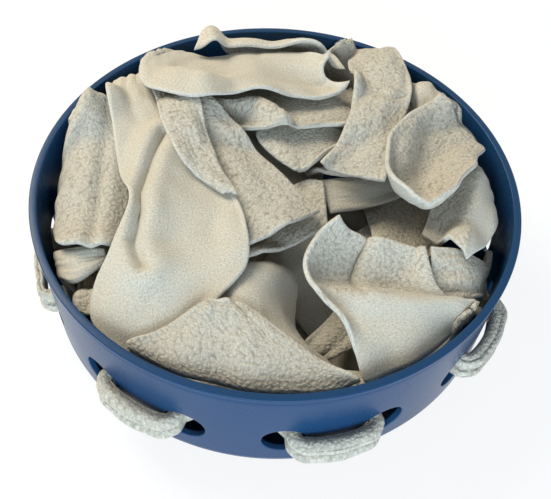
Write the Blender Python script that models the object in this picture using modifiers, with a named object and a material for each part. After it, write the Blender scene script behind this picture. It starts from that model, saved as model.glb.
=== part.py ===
# Snuffle bowl: a moulded plastic bowl with sixteen lacing holes round its wall.
# Wide fleece strips are laced through the holes in pairs. Each strip is gathered where it
# passes through the wall, makes a loop outside, and both its ends lie in the bowl as flaps.
import math

import bmesh
import bpy
import numpy as np

# Driving dimensions of the bowl, in metres
rim_radius = 0.145
bowl_height = 0.086
wall = 0.0036
floor_thickness = 0.0036
rim_width = 0.0045
rim_depth = 0.0029
rim_overhang = 0.0012
wall_lean = 0.0013
base_corner = 0.012
foot_height = 0.0008
foot_inset = 0.022
foot_turn = math.radians(-82)
rim_edge_share = 1 / 6
merge_distance = 0.00001
bowl_steps = 80
inner_corner_points = 5
outer_corner_points = 6

# Driving dimensions of the lacing holes
hole_count = 16
hole_diameter = 0.025
hole_height = 0.035
first_hole_angle = math.radians(-84.4)
hole_sides = 24
cut_overrun = 0.010

# Driving dimensions of the fleece
fleece = 0.003
hole_side_clearance = 0.0006
strip_gap = 0.0006
loop_standoff = 0.0012
loop_depth = 0.0104
loop_swell_share = 1.22
riser_width = 0.034
riser_thickness = 0.0050
lay_gap = 0.0008
wall_clearance = 0.0012
hinge_gap = 0.0010
lobe_edge_share = 0.9
taut_pairs = [6]
taut_share = 0.55

# How a flap is laid: cell of the height map, most rounds, share of the shortfall raised in each
# round and of the gap added to it, and which samples are too near the root or too steep to count
heap_cell = 0.0015
lay_rounds = 60
lay_step_share = 0.7
lay_creep_share = 0.125
root_share = 0.4
steep_share = 0.35

# Sizes worked out from the driving ones
inner_radius = rim_radius - rim_width
outer_wall_top = rim_radius - rim_overhang
outer_wall_base = outer_wall_top - wall_lean
hole_radius = hole_diameter / 2
hole_pitch = 2 * math.pi / hole_count
wall_middle = outer_wall_top - wall / 2
plan_square = inner_radius / 14

# The gathered fleece fills the half of each hole that faces its partner hole. Two strips share
# it, one above the other, so each is a lobe with its own half width and half height.
lobe_half_width_share = 0.345
lobe_half_height_share = 0.385
lobe_half_width = lobe_half_width_share * hole_radius
lobe_half_height = lobe_half_height_share * hole_radius
lobe_rise = lobe_half_height + strip_gap / 2
lobe_offset = lobe_half_width + hole_side_clearance

# Points across and rows along each end of a strip
upper_across = 6
lower_across = 4
upper_rows = 7
lower_rows = 4

# The loop from inside the wall to its middle: how far out, how far round, how square to the wall
loop_shares = [(0, 0, 1), (.30, .01, .85), (.70, .14, .42), (1, .62, .05)]
taut_loop_shares = [(0, 0, 1), (.50, .01, .90), (.95, .08, .55), (1, .60, .05)]

# The riser from a hole up the wall's inside: how far in from the wall's clearance as a share of
# the riser's thickness, how far up as a share of the lobe's height, then half width, thickness
# and roundness as shares of the riser's own
riser_shares = {
    "upper": [(.75, .15, .5, 1.5, .6), (1.0, 1.2, .8, 1.0, .2), (1.1, 2.2, 1.0, .8, 0)],
    "lower": [(1.68, .10, .5, 1.4, .6), (2.74, .8, .8, 1.0, .2), (2.94, 1.9, 1.0, .8, 0)],
    "floor": [(1.68, -.10, .5, 1.4, .6), (3.61, -.5, .8, 1.0, .2)]}

# Heap of flaps. Each row across a flap has its two edges, as x and y in plan squares and
# height as a share of the bowl's height, then how far the middle stands up as a share of the
# height, and how far it lies back along the flap, in plan squares.
tail_shares = {
    "0_upper": [((-7.0, -11.5, .88), (4.9, -12.6, .87), -.02, 1.2),
                ((-5.6, -10.7, .95), (3.1, -11.8, .94), .03, .2),
                ((-4.3, -9.8, .99), (.8, -10.4, .98), .03, 0),
                ((-3.2, -9.1, .99), (-1.5, -9.0, .99), 0, 0)],
    "1_upper": [((3.5, -12.3, .70), (5.4, -11.2, .68), .02, 0),
                ((.5, -11.5, .83), (2.9, -10.2, .70), .08, 0),
                ((-1.9, -9.7, .91), (1.6, -8.7, .68), .14, 0),
                ((-2.7, -7.9, .92), (1.5, -7.0, .64), .18, 0),
                ((-2.3, -6.3, .88), (1.6, -5.5, .62), .16, 0),
                ((-1.2, -5.0, .76), (1.2, -4.5, .62), .08, 0)],
    "2_upper": [((5.3, -12.4, .85), (11.2, -7.7, .85), 0, .4),
                ((4.6, -11.2, .96), (11.0, -7.4, .94), .01, .1),
                ((3.9, -9.9, 1.0), (10.3, -7.6, .98), .02, 0),
                ((2.4, -8.6, 1.04), (9.8, -7.3, .98), -.01, 0),
                ((1.7, -7.2, 1.06), (9.7, -6.6, .95), -.11, 0),
                ((2.3, -5.6, 1.10), (9.6, -5.8, .98), -.09, 0),
                ((3.5, -4.4, 1.14), (9.2, -4.8, 1.03), -.02, 0)],
    "3_upper": [((11.9, -6.1, .79), (12.7, -3.6, .79), 0, 0),
                ((11.2, -6.5, .89), (11.7, -4.2, .89), .02, 0),
                ((9.8, -6.9, .94), (10.0, -4.7, .95), .02, 0),
                ((8.5, -6.9, .90), (8.6, -5.0, .93), 0, 0)],
    "4_upper": [((13.1, -1.2, .88), (12.5, 2.7, .90), .02, .3),
                ((12.7, -2.6, .98), (11.4, 2.2, 1.02), .03, 0),
                ((11.9, -4.0, .98), (9.8, .2, .98), .04, 0),
                ((10.6, -5.5, .92), (8.6, -2.7, .92), .03, 0)],
    "5_upper": [((12.8, 3.9, .98), (9.9, 6.8, 1.0), 0, .2),
                ((12.2, 2.8, 1.03), (8.1, 5.5, 1.03), -.03, 0),
                ((11.7, 1.3, 1.08), (6.6, 3.2, 1.09), -.10, 0),
                ((10.5, -.4, 1.15), (6.3, .5, 1.16), -.17, 0),
                ((9.7, -1.9, 1.18), (6.9, -1.4, 1.18), -.10, -.3),
                ((8.9, -2.6, 1.19), (7.8, -2.5, 1.19), 0, 0)],
    "6_upper": [((10.2, 9.0, .93), (8.5, 9.9, .95), .04, 0),
                ((9.7, 8.1, 1.02), (8.2, 8.2, 1.03), .07, 0),
                ((9.2, 7.0, 1.0), (8.0, 6.9, 1.01), .05, 0)],
    "7_upper": [((3.6, 12.5, 1.0), (7.2, 11.4, 1.09), .08, 0),
                ((3.9, 10.8, 1.05), (7.9, 9.7, 1.12), .05, 0),
                ((4.4, 8.4, 1.08), (8.1, 7.4, 1.11), .03, 0),
                ((4.3, 5.8, 1.06), (7.7, 5.2, 1.09), .02, 0),
                ((3.6, 3.4, 1.01), (7.1, 2.6, 1.06), 0, 0),
                ((2.5, 1.5, .95), (6.4, .3, 1.02), 0, 0)],
    "8_upper": [((-4.4, 12.4, .90), (2.2, 12.9, .92), 0, .2),
                ((-5.4, 11.7, 1.05), (2.0, 12.1, 1.03), 0, .2),
                ((-5.9, 10.2, 1.12), (0, 11.1, 1.08), -.03, .1),
                ((-5.9, 8.9, 1.13), (-3.0, 9.5, 1.12), -.05, 0)],
    "9_upper": [((-7.0, 10.7, .98), (-8.9, 8.9, .96), .05, 0),
                ((-5.9, 9.6, 1.04), (-8.6, 6.7, 1.03), .05, 0),
                ((-3.2, 10.0, 1.06), (-5.2, 5.0, 1.09), .04, 0),
                ((-.6, 10.2, 1.08), (-1.6, 5.8, 1.10), .01, 0),
                ((1.2, 10.2, 1.14), (2.0, 6.4, 1.08), -.05, .6),
                ((2.9, 10.0, 1.22), (4.2, 6.7, 1.12), -.12, 1.6)],
    "10_upper": [((-11.1, 7.7, .97), (-9.2, 8.6, .98), .03, 0),
                 ((-11.0, 5.4, 1.03), (-7.9, 5.8, 1.04), .05, 0),
                 ((-10.2, 2.6, 1.04), (-6.0, 3.2, 1.03), .05, 0),
                 ((-9.3, -.6, 1.04), (-4.4, .8, 1.03), .04, 0),
                 ((-8.1, -3.6, 1.08), (-2.4, -1.8, 1.03), .03, 0),
                 ((-8.6, -5.9, 1.05), (-1.5, -4.2, 1.0), .03, 0),
                 ((-9.4, -8.2, .96), (-1.3, -6.6, .99), .05, 0),
                 ((-9.0, -10.4, .88), (-2.6, -8.8, .95), .03, 0),
                 ((-7.2, -11.6, .80), (-3.6, -10.2, .88), .02, 0)],
    "11_upper": [((-13.0, 3.2, .93), (-12.2, 5.5, .93), 0, 0),
                 ((-12.9, 3.4, 1.04), (-12.1, 5.5, 1.06), .02, 0),
                 ((-11.7, 3.6, 1.03), (-11.3, 5.0, 1.0), .02, 0)],
    "12_upper": [((-13.0, 2.6, .86), (-12.3, -5.0, .86), 0, .3),
                 ((-12.4, 4.2, .95), (-11.9, -5.7, .92), 0, .2),
                 ((-11.2, 5.0, .97), (-10.4, -5.9, .93), .03, 0),
                 ((-9.6, 4.2, .92), (-8.9, -5.8, .90), .02, 0)],
    "13_upper": [((-12.3, -5.4, .84), (-11.5, -7.3, .84), 0, 0),
                 ((-11.3, -5.5, .91), (-10.7, -7.8, .90), .01, 0),
                 ((-9.4, -5.5, .91), (-9.0, -6.1, .90), 0, 0)],
    "14_upper": [((-8.6, -8.2, .66), (-6.8, -9.8, .66), 0, 0),
                 ((-5.4, -4.8, .78), (-3.6, -7.2, .78), .03, 0),
                 ((-2.0, -2.0, .81), (-1.0, -5.6, .81), .02, 0),
                 ((1.0, 1.0, .82), (1.0, -3.9, .84), .01, 0),
                 ((2.8, 1.2, .80), (3.2, -2.2, .85), 0, 0)],
    "15_upper": [((-5.4, -10.6, .60), (-2.4, -11.2, .60), 0, 0),
                 ((-6.0, -7.6, .68), (-1.8, -8.2, .68), .03, 0),
                 ((-6.4, -4.0, .66), (-2.4, -4.4, .66), .02, 0)],
    "0_lower": [((.6, -10.4, .50), (2.4, -10.2, .50), 0, 0),
                ((2.0, -9.0, .56), (3.7, -9.3, .54), .02, 0),
                ((2.8, -7.6, .50), (4.3, -8.3, .46), 0, 0)],
    "2_lower": [((9.4, -6.0, .58), (8.0, -7.6, .58), 0, 0),
                ((8.2, -4.2, .58), (5.4, -5.4, .56), .02, 0),
                ((6.6, -1.4, .58), (4.4, -3.2, .56), .02, 0),
                ((6.0, .4, .56), (4.8, -.8, .54), 0, 0)],
    "5_lower": [((9.6, 6.0, .56), (10.8, 3.8, .56), 0, 0),
                ((7.0, 4.2, .68), (8.0, 1.8, .67), .02, 0),
                ((4.6, 2.4, .80), (6.0, .3, .76), .02, 0),
                ((2.3, 1.5, .83), (3.3, -.8, .79), .02, 0)],
    "6_lower": [((6.4, 8.6, .66), (8.2, 7.2, .66), 0, 0),
                ((5.0, 6.6, .72), (7.6, 5.4, .72), -.03, 0),
                ((3.4, 4.8, .76), (7.4, 3.9, .76), -.05, 0),
                ((1.6, 2.6, .80), (6.9, 2.6, .80), -.04, -1.0)],
    "7_lower": [((1.6, 10.6, .80), (4.6, 10.4, .80), 0, 0),
                ((.2, 8.0, .87), (5.2, 8.0, .86), .01, 0),
                ((-1.2, 5.6, .94), (5.4, 6.0, .91), .03, 0),
                ((-1.5, 3.7, .96), (5.0, 4.5, .93), .02, 0),
                ((-.2, 2.1, .96), (3.2, 3.0, .95), .02, 0),
                ((1.0, 1.2, .96), (1.8, 1.3, .95), 0, 0)],
    "8_lower": [((-3.0, 10.6, .88), (1.4, 10.8, .88), 0, 0),
                ((-4.8, 8.6, .96), (4.2, 9.0, .94), .01, 0),
                ((-5.0, 6.5, 1.0), (5.4, 7.2, .98), -.05, 0),
                ((-5.0, 4.8, 1.06), (5.7, 5.2, 1.04), 0, -1.5)],
    "9_lower": [((-7.3, 9.9, 1.0), (-6.0, 9.2, 1.0), 0, 0),
                ((-8.7, 8.0, 1.03), (-7.2, 7.4, 1.03), .02, 0),
                ((-7.9, 4.8, 1.09), (-5.4, 5.2, 1.10), .03, 0),
                ((-6.8, 1.8, 1.11), (-4.5, 2.6, 1.12), .03, 0),
                ((-5.3, -.6, 1.10), (-3.4, -.2, 1.12), .03, 0),
                ((-3.0, -2.0, 1.07), (-2.2, -2.2, 1.07), 0, 0)],
    "10_lower": [((-9.4, 5.8, .80), (-7.4, 7.6, .80), 0, 0),
                 ((-7.0, 2.6, .92), (-4.4, 5.2, .93), .02, 0),
                 ((-4.8, -.8, .98), (-1.4, 2.4, .98), .02, 0),
                 ((-1.5, -5.4, .98), (2.6, -2.0, .97), .02, 0)],
    "4_lower": [((10.4, 2.6, .58), (10.6, -.8, .58), 0, 0),
                ((8.6, 3.2, .62), (9.4, -2.6, .61), .02, 0),
                ((7.2, 3.0, .61), (7.8, -3.0, .60), .03, 0),
                ((5.6, 1.6, .58), (6.2, -2.4, .57), 0, 0)],
    "11_lower": [((-9.6, 1.2, .60), (-8.6, 4.6, .60), 0, 0),
                 ((-6.6, 2.6, .66), (-5.0, 6.6, .66), .03, 0),
                 ((-3.0, 2.8, .68), (-1.6, 7.4, .68), .03, 0),
                 ((.4, 2.0, .68), (1.4, 6.4, .68), .02, 0)],
    "13_lower": [((-10.3, -7.4, .70), (-9.1, -6.6, .70), 0, 0),
                 ((-10.6, -8.4, .84), (-9.0, -7.8, .84), .02, 0),
                 ((-10.4, -9.5, .84), (-8.8, -9.5, .84), .01, 0)],
}

# Tails that lie under the heap fan out over the floor: how far in from the wall each row is,
# its half width and its height, all as shares of the inner radius or of the bowl's height.
floor_tails = ["14_lower", "15_lower", "12_lower", "3_lower", "1_lower"]
floor_reach_shares = [.78, .55, .30, .06]
floor_half_width_shares = [.14, .21, .25, .24]
floor_height_shares = [.24, .20, .22, .24]
floor_rise_share = .06
floor_swirl_shares = [.10, .10, .10, .10, .30]

# The tails lie on each other in this order, lowest first
lay_order = floor_tails + [
    "0_lower", "2_lower", "4_lower", "11_lower", "15_upper", "5_lower", "6_lower", "1_upper",
    "14_upper", "13_lower", "13_upper", "7_lower", "8_lower", "10_lower", "3_upper", "4_upper",
    "11_upper", "12_upper", "10_upper", "9_lower", "9_upper", "8_upper", "6_upper", "7_upper",
    "5_upper", "2_upper", "0_upper"]

# Waves across a flap that grow towards its end: how many, how high as a share of the bowl's
# height, and where they start
wave_shares = {"2_upper": (2.6, .055, .4), "4_upper": (1.6, .03, 0), "8_upper": (2.5, .03, .5),
               "9_upper": (.8, .02, .2), "12_upper": (1.2, .015, 0)}

# Flaps on top of the heap that lift at their root. Each is a piece of its own from this row on.
lifting_row_count = {"0_upper": 0, "2_upper": 0, "5_upper": 0, "9_lower": 2}
lifting_names = {"0_upper": "front_flap", "2_upper": "front_right_flap",
                 "5_upper": "right_flap", "9_lower": "centre_flap"}

# Finishes: base colour, roughness
blue_plastic = ((.045, .105, .225, 1), .24)
beige_fleece = ((.56, .52, .42, 1), .95)


def make_material(name, finish):
    # Plain Principled finish
    material = bpy.data.materials.new(name)
    material.use_nodes = True
    shader = material.node_tree.nodes["Principled BSDF"]
    shader.inputs["Base Color"].default_value = finish[0]
    shader.inputs["Roughness"].default_value = finish[1]
    shader.inputs["Metallic"].default_value = 0
    return material


def link_mesh(name, vertices, faces, finish, collection):
    # New mesh object with its own material
    mesh = bpy.data.meshes.new(name)
    mesh.from_pydata(vertices, [], faces)
    mesh.update()
    part = bpy.data.objects.new(name, mesh)
    mesh.materials.append(make_material(name + "_finish", finish))
    collection.objects.link(part)
    return part


def arc(centre_x, centre_z, radius, start, end, count):
    # Points round an arc in the profile's plane
    angles = np.linspace(start, end, count)
    return [(centre_x + radius * math.cos(a), 0, centre_z + radius * math.sin(a)) for a in angles]


def bowl_profile():
    # From the middle of the floor out, up the inside, over the rim, down the outside, back in
    inner_base = outer_wall_base - wall
    inner_corner = base_corner - wall
    bead_edge = rim_width * rim_edge_share
    points = [(0, 0, floor_thickness)]
    points += arc(inner_base - inner_corner, floor_thickness + inner_corner, inner_corner,
                  -math.pi / 2, 0, inner_corner_points)
    points += [(outer_wall_top - wall, 0, bowl_height - rim_depth),
               (inner_radius, 0, bowl_height - bead_edge),
               (inner_radius + bead_edge, 0, bowl_height),
               (rim_radius - bead_edge, 0, bowl_height),
               (rim_radius, 0, bowl_height - bead_edge),
               (rim_radius, 0, bowl_height - rim_depth),
               (outer_wall_top, 0, bowl_height - rim_depth - rim_overhang)]
    points += arc(outer_wall_base - base_corner, base_corner, base_corner,
                  0, foot_turn, outer_corner_points)
    points += [(outer_wall_base - foot_inset + foot_height, 0, foot_height),
               (outer_wall_base - foot_inset, 0, 0), (0, 0, 0)]
    return points


def make_bowl(collection, cutters):
    # Turned shell, then the lacing holes cut through its wall
    points = bowl_profile()
    edges = [(i, i + 1) for i in range(len(points) - 1)]
    mesh = bpy.data.meshes.new("bowl")
    mesh.from_pydata(points, edges, [])
    bowl = bpy.data.objects.new("bowl", mesh)
    mesh.materials.append(make_material("bowl_finish", blue_plastic))
    collection.objects.link(bowl)
    screw = bowl.modifiers.new("turned", "SCREW")
    screw.axis = "Z"
    screw.steps = bowl_steps
    screw.render_steps = bowl_steps
    screw.use_merge_vertices = True
    screw.merge_threshold = merge_distance
    screw.use_smooth_shade = True
    cutter_mesh = bmesh.new()
    for k in range(hole_count):
        angle = first_hole_angle + k * hole_pitch
        out = np.array([math.cos(angle), math.sin(angle), 0])
        added = bmesh.ops.create_cone(cutter_mesh, cap_ends=True, segments=hole_sides,
                                      radius1=hole_radius, radius2=hole_radius,
                                      depth=wall + 2 * cut_overrun)["verts"]
        turn = np.array([[-out[1], 0, out[0]], [out[0], 0, out[1]], [0, 1, 0]])
        for vertex in added:
            vertex.co = turn @ np.array(vertex.co) + out * wall_middle + (0, 0, hole_height)
    bmesh.ops.recalc_face_normals(cutter_mesh, faces=cutter_mesh.faces)
    mesh = bpy.data.meshes.new("hole_cutter")
    cutter_mesh.to_mesh(mesh)
    cutter_mesh.free()
    cutter = bpy.data.objects.new("hole_cutter", mesh)
    cutter.hide_render = True
    cutter.display_type = "WIRE"
    cutters.objects.link(cutter)
    cut = bowl.modifiers.new("lacing_holes", "BOOLEAN")
    cut.operation = "DIFFERENCE"
    cut.solver = "EXACT"
    cut.object = cutter


def row(left, middle, right, thickness, roundness):
    # One row across a strip: three points, its thickness, and 1 for a round lobe or 0 for flat
    return np.concatenate([left, middle, right, [thickness, roundness]])


def polar(radius, angle, height):
    return np.array([radius * math.cos(angle), radius * math.sin(angle), height])


def lobe_row(radius, angle, height, width_direction, half_width, half_height):
    # Gathered fleece: a round lobe whose width lies along width_direction
    centre = polar(radius, angle, height)
    side = np.array([math.cos(width_direction), math.sin(width_direction), 0]) * half_width
    return row(centre - side, centre, centre + side, 2 * half_height, 1)


def root_rows(k, layer):
    # From inside the wall up to the heap, all facing inwards, with the left edge first
    toward = 1 if k % 2 == 0 else -1
    angle = first_hole_angle + k * hole_pitch + toward * lobe_offset / wall_middle
    side = angle + math.pi / 2
    sign = 1 if layer == "upper" else -1
    height = hole_height + sign * lobe_rise
    rows = [lobe_row(wall_middle - wall, angle, height, side, lobe_half_width, lobe_half_height)]
    reach = outer_wall_base - wall - wall_clearance
    centre_angle = first_hole_angle + k * hole_pitch
    kind = "floor" if "%d_%s" % (k, layer) in floor_tails else layer
    for inwards, up, width_share, thickness_share, roundness in riser_shares[kind]:
        radius = reach - inwards * riser_thickness
        half_width = width_share * riser_width / 2
        centre = polar(radius, centre_angle, height + up * 2 * lobe_half_height)
        along = polar(half_width, side, 0)
        back = polar(half_width ** 2 / radius / 2, centre_angle, 0)
        rows.append(row(centre - along - back, centre, centre + along - back,
                        thickness_share * riser_thickness, roundness))
    return rows


def floor_rows(k):
    # A tail under the heap fans out over the floor
    angle = first_hole_angle + k * hole_pitch
    swirl = floor_swirl_shares[floor_tails.index("%d_lower" % k)]
    rows = []
    for i, reach in enumerate(floor_reach_shares):
        turned = angle + swirl * (i + 1)
        centre = polar(reach * inner_radius, turned, floor_height_shares[i] * bowl_height)
        side = polar(floor_half_width_shares[i] * inner_radius, turned + math.pi / 2, 0)
        middle = centre + np.array([0, 0, floor_rise_share * bowl_height])
        rows.append(row(centre - side, middle, centre + side, fleece, 0))
    return rows


def heap_rows(shares):
    # Rows of a flap in the heap, turned so that the left edge comes first facing its end
    rows = []
    middles = [(np.array(a[:2]) + np.array(b[:2])) / 2 for a, b, rise, back in shares]
    for i, (a, b, rise, back) in enumerate(shares):
        forward = middles[min(i + 1, len(shares) - 1)] - middles[max(i - 1, 0)]
        forward = forward / np.linalg.norm(forward)
        first = np.array([a[0] * plan_square, a[1] * plan_square, a[2] * bowl_height])
        second = np.array([b[0] * plan_square, b[1] * plan_square, b[2] * bowl_height])
        middle = (first + second) / 2
        middle[:2] -= forward * back * plan_square
        middle[2] += rise * bowl_height
        across = second - first
        facing = forward[1] * across[0] - forward[0] * across[1]
        left, right = (first, second) if facing > 0 else (second, first)
        rows.append(row(left, middle, right, fleece, 0))
    return rows


def smooth_path(keys, places):
    # Cubic curve through the key rows, each slope taken from its neighbours, at the places
    middles = keys[:, 3:6]
    steps = np.linalg.norm(np.diff(middles, axis=0), axis=1)
    at = np.concatenate([[0], np.cumsum(steps)])
    slopes = np.gradient(keys, at, axis=0)
    index = np.clip(np.searchsorted(at, places, side="right") - 1, 0, len(at) - 2)
    span = (at[index + 1] - at[index])[:, None]
    t = ((places - at[index])[:, None]) / span
    start, end = keys[index], keys[index + 1]
    return ((2 * t ** 3 - 3 * t ** 2 + 1) * start + (t ** 3 - 2 * t ** 2 + t) * span * slopes[index]
            + (3 * t ** 2 - 2 * t ** 3) * end + (t ** 3 - t ** 2) * span * slopes[index + 1])


def spread(rows, across):
    # Grid of points from rows: each row is a parabola through its left, middle and right point
    v = np.linspace(-1, 1, across)[None, :, None]
    left, middle, right = rows[:, None, 0:3], rows[:, None, 3:6], rows[:, None, 6:9]
    grid = middle + v * (right - left) / 2 + v ** 2 * ((left + right) / 2 - middle)
    lens = 1 - np.sqrt(1 - lobe_edge_share * v[:, :, 0] ** 2)
    return grid, rows[:, None, 9] * (1 - rows[:, None, 10] * lens)


def faces_out(grid):
    # Unit normals, from the step across and the step along, where the shorter step counts more
    steps = np.diff(grid, axis=0)
    steps /= (steps ** 2).sum(axis=2, keepdims=True)
    along = np.concatenate([steps[:1], steps[1:] + steps[:-1], steps[-1:]])
    across = np.gradient(grid, axis=1)
    normal = np.cross(across, along)
    return normal / np.linalg.norm(normal, axis=2, keepdims=True)


def keep_inside(grid, thickness):
    # Draw points in to the wall's inside and up from the floor
    reach = inner_radius - wall_clearance - thickness / 2
    radius = np.linalg.norm(grid[:, :, :2], axis=2)
    grid[:, :, :2] *= np.minimum(1, reach / np.maximum(radius, wall))[:, :, None]
    grid[:, :, 2] = np.maximum(grid[:, :, 2], floor_thickness + lay_gap + thickness / 2)


def two_sides(grid, thickness):
    normal = faces_out(grid)
    half = thickness[:, :, None] / 2
    return grid + normal * half, grid - normal * half


class Heap:
    # Height of what lies in the bowl so far, on a square grid of cells
    def __init__(self):
        self.count = 2 * math.ceil(rim_radius / heap_cell) + 3
        self.top = np.full((self.count, self.count), floor_thickness)

    def cells(self, points):
        index = np.floor(points[..., :2] / heap_cell).astype(int) + self.count // 2
        return np.clip(index, 0, self.count - 1)

    def samples(self, surface):
        # Points all over a grid surface, closer together than a cell
        step = max(np.linalg.norm(np.diff(surface, axis=0), axis=2).max(),
                   np.linalg.norm(np.diff(surface, axis=1), axis=2).max())
        fine = math.ceil(step / heap_cell) + 1
        s = np.linspace(0, 1, fine)
        points, owners = [], []
        a, b = surface[:-1, :-1], surface[:-1, 1:]
        c, d = surface[1:, 1:], surface[1:, :-1]
        for p in s:
            for q in s:
                # p runs across and q runs along
                if p >= q:
                    points.append(a + (b - a) * (p - q) + (c - a) * q)
                else:
                    points.append(a + (d - a) * (q - p) + (c - a) * p)
                owners.append((p, q))
        return np.array(points), owners

    def lay(self, grid, thickness, fixed_rows):
        # Raise the free rows until the underside clears the heap
        for _ in range(lay_rounds):
            upper, lower = two_sides(grid, thickness)
            raised = np.zeros(grid.shape[:2])
            flat = np.abs(np.cross(grid[1:, 1:] - grid[:-1, :-1], grid[1:, :-1] - grid[:-1, 1:]))
            steep = flat[..., 2] < steep_share * np.linalg.norm(flat, axis=2)
            for surface in (lower, upper):
                points, owners = self.samples(surface)
                index = self.cells(points)
                short = self.reach[index[..., 0], index[..., 1]] + lay_gap - points[..., 2]
                near_root = np.array([q < root_share for p, q in owners])
                short[near_root, :fixed_rows] = 0
                short[:, steep] = 0
                short = np.maximum(short.max(axis=0), 0)
                for i, j in ((0, 0), (0, 1), (1, 0), (1, 1)):
                    part = raised[i:raised.shape[0] - 1 + i, j:raised.shape[1] - 1 + j]
                    np.maximum(part, short, out=part)
            raised[:fixed_rows] = 0
            if raised.max() <= 0:
                break
            grid[:, :, 2] += raised * lay_step_share + lay_gap * lay_creep_share * (raised > 0)

    def refresh(self):
        # Each cell reaches as high as its highest neighbour, so sides keep clear as well
        padded = np.pad(self.top, 1, mode="edge")
        n = self.count
        self.reach = np.max([padded[i:i + n, j:j + n] for i in range(3) for j in range(3)], axis=0)

    def settle(self, grid, thickness):
        for surface in two_sides(grid, thickness):
            points = self.samples(surface)[0].reshape(-1, 3)
            index = self.cells(points)
            np.maximum.at(self.top, (index[:, 0], index[:, 1]), points[:, 2])


def make_tail(name, heap):
    # One end of a strip, from its hole to its cut edge, laid on the heap
    k, layer = int(name.split("_")[0]), name.split("_")[1]
    roots = root_rows(k, layer)
    flap = floor_rows(k) if name in floor_tails else heap_rows(tail_shares[name])
    keys = np.array(roots + flap)
    across = upper_across if layer == "upper" else lower_across
    count = upper_rows if layer == "upper" else lower_rows
    at = np.concatenate([[0], np.cumsum(np.linalg.norm(np.diff(keys[:, 3:6], axis=0), axis=1))])
    first = len(roots)
    split = None
    places = list(at[:first])
    if name in lifting_row_count:
        split_at = at[first + lifting_row_count[name]]
        places += list(at[first:first + lifting_row_count[name]])
        places += [split_at - hinge_gap / 2, split_at + hinge_gap / 2]
        split = len(places) - 1
        places += list(np.linspace(split_at, at[-1], count)[1:])
    else:
        places += list(np.linspace(at[first - 1], at[-1], count + 1)[1:])
    rows = smooth_path(keys, np.array(places))
    rows[:, 9] = np.maximum(rows[:, 9], fleece)
    rows[:, 10] = np.clip(rows[:, 10], 0, 1)
    grid, thickness = spread(rows, across)
    if name in wave_shares:
        waves, height, start = wave_shares[name]
        grow = np.clip((np.array(places) - at[first]) / (at[-1] - at[first]), 0, 1)[:, None]
        v = np.linspace(0, 1, across)[None, :]
        grid[:, :, 2] += height * bowl_height * grow * np.sin(2 * math.pi * (waves * v + start))
    keep_inside(grid[first:], thickness[first:])
    heap.refresh()
    heap.lay(grid, thickness, first)
    heap.settle(grid, thickness)
    return grid, thickness, split


def make_loop(pair, layer):
    # The loop outside the wall between a pair of holes, from the even hole to the odd one
    sign = 1 if layer == "upper" else -1
    start = first_hole_angle + pair * 2 * hole_pitch
    middle = start + hole_pitch / 2
    half_angle = hole_pitch / 2 - lobe_offset / wall_middle
    across = upper_across if layer == "upper" else lower_across
    shares, depth = loop_shares, loop_depth
    if pair in taut_pairs:
        shares, depth = taut_loop_shares, loop_depth * taut_share
    out_radius = outer_wall_top + loop_standoff + depth / 2
    rows = []
    for side in (-1, 1):
        for reach, turn, radial in shares if side < 0 else shares[::-1]:
            radius = wall_middle + (out_radius - wall_middle) * reach
            angle = middle + side * half_angle * (1 - turn)
            heading = angle + math.pi / 2 + side * math.pi / 2 * radial
            swell = 1 + (loop_swell_share - 1) * reach
            half_height = lobe_half_height * swell
            half_width = lobe_half_width + (depth / 2 - lobe_half_width) * reach
            height = hole_height + sign * (half_height + strip_gap / 2)
            rows.append(lobe_row(radius, angle, height, heading - math.pi / 2, half_width, half_height))
    return spread(np.array(rows), across)


def closed_sheet(name, upper, lower, origin, collection):
    # Closed solid from two grids: top, underside, two long sides and two ends
    rows, across = upper.shape[:2]
    vertices = np.concatenate([upper.reshape(-1, 3), lower.reshape(-1, 3)]) - origin
    index = np.arange(rows * across).reshape(rows, across)
    under = index + rows * across
    quads = [np.stack([index[:-1, :-1], index[:-1, 1:], index[1:, 1:], index[1:, :-1]], -1).reshape(-1, 4),
             np.stack([under[:-1, :-1], under[1:, :-1], under[1:, 1:], under[:-1, 1:]], -1).reshape(-1, 4),
             np.stack([index[:-1, 0], index[1:, 0], under[1:, 0], under[:-1, 0]], -1),
             np.stack([index[1:, -1], index[:-1, -1], under[:-1, -1], under[1:, -1]], -1),
             np.stack([index[0, 1:], index[0, :-1], under[0, :-1], under[0, 1:]], -1),
             np.stack([index[-1, :-1], index[-1, 1:], under[-1, 1:], under[-1, :-1]], -1)]
    quads = np.concatenate(quads)
    triangles = np.concatenate([quads[:, [0, 1, 2]], quads[:, [0, 2, 3]]])
    sheet = link_mesh(name, vertices.tolist(), triangles.tolist(), beige_fleece, collection)
    sheet.location = origin


def hinge_point(edge, tip):
    # A flap lifts about the point of its root edge that lies furthest from its tip
    away = (edge.mean(axis=0) - tip.mean(axis=0))[:2]
    chord = (edge[-1] - edge[0])[:2]
    square = away - chord * (away @ chord) / (chord @ chord)
    return edge[np.argmax(edge[:, :2] @ square)]


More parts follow.
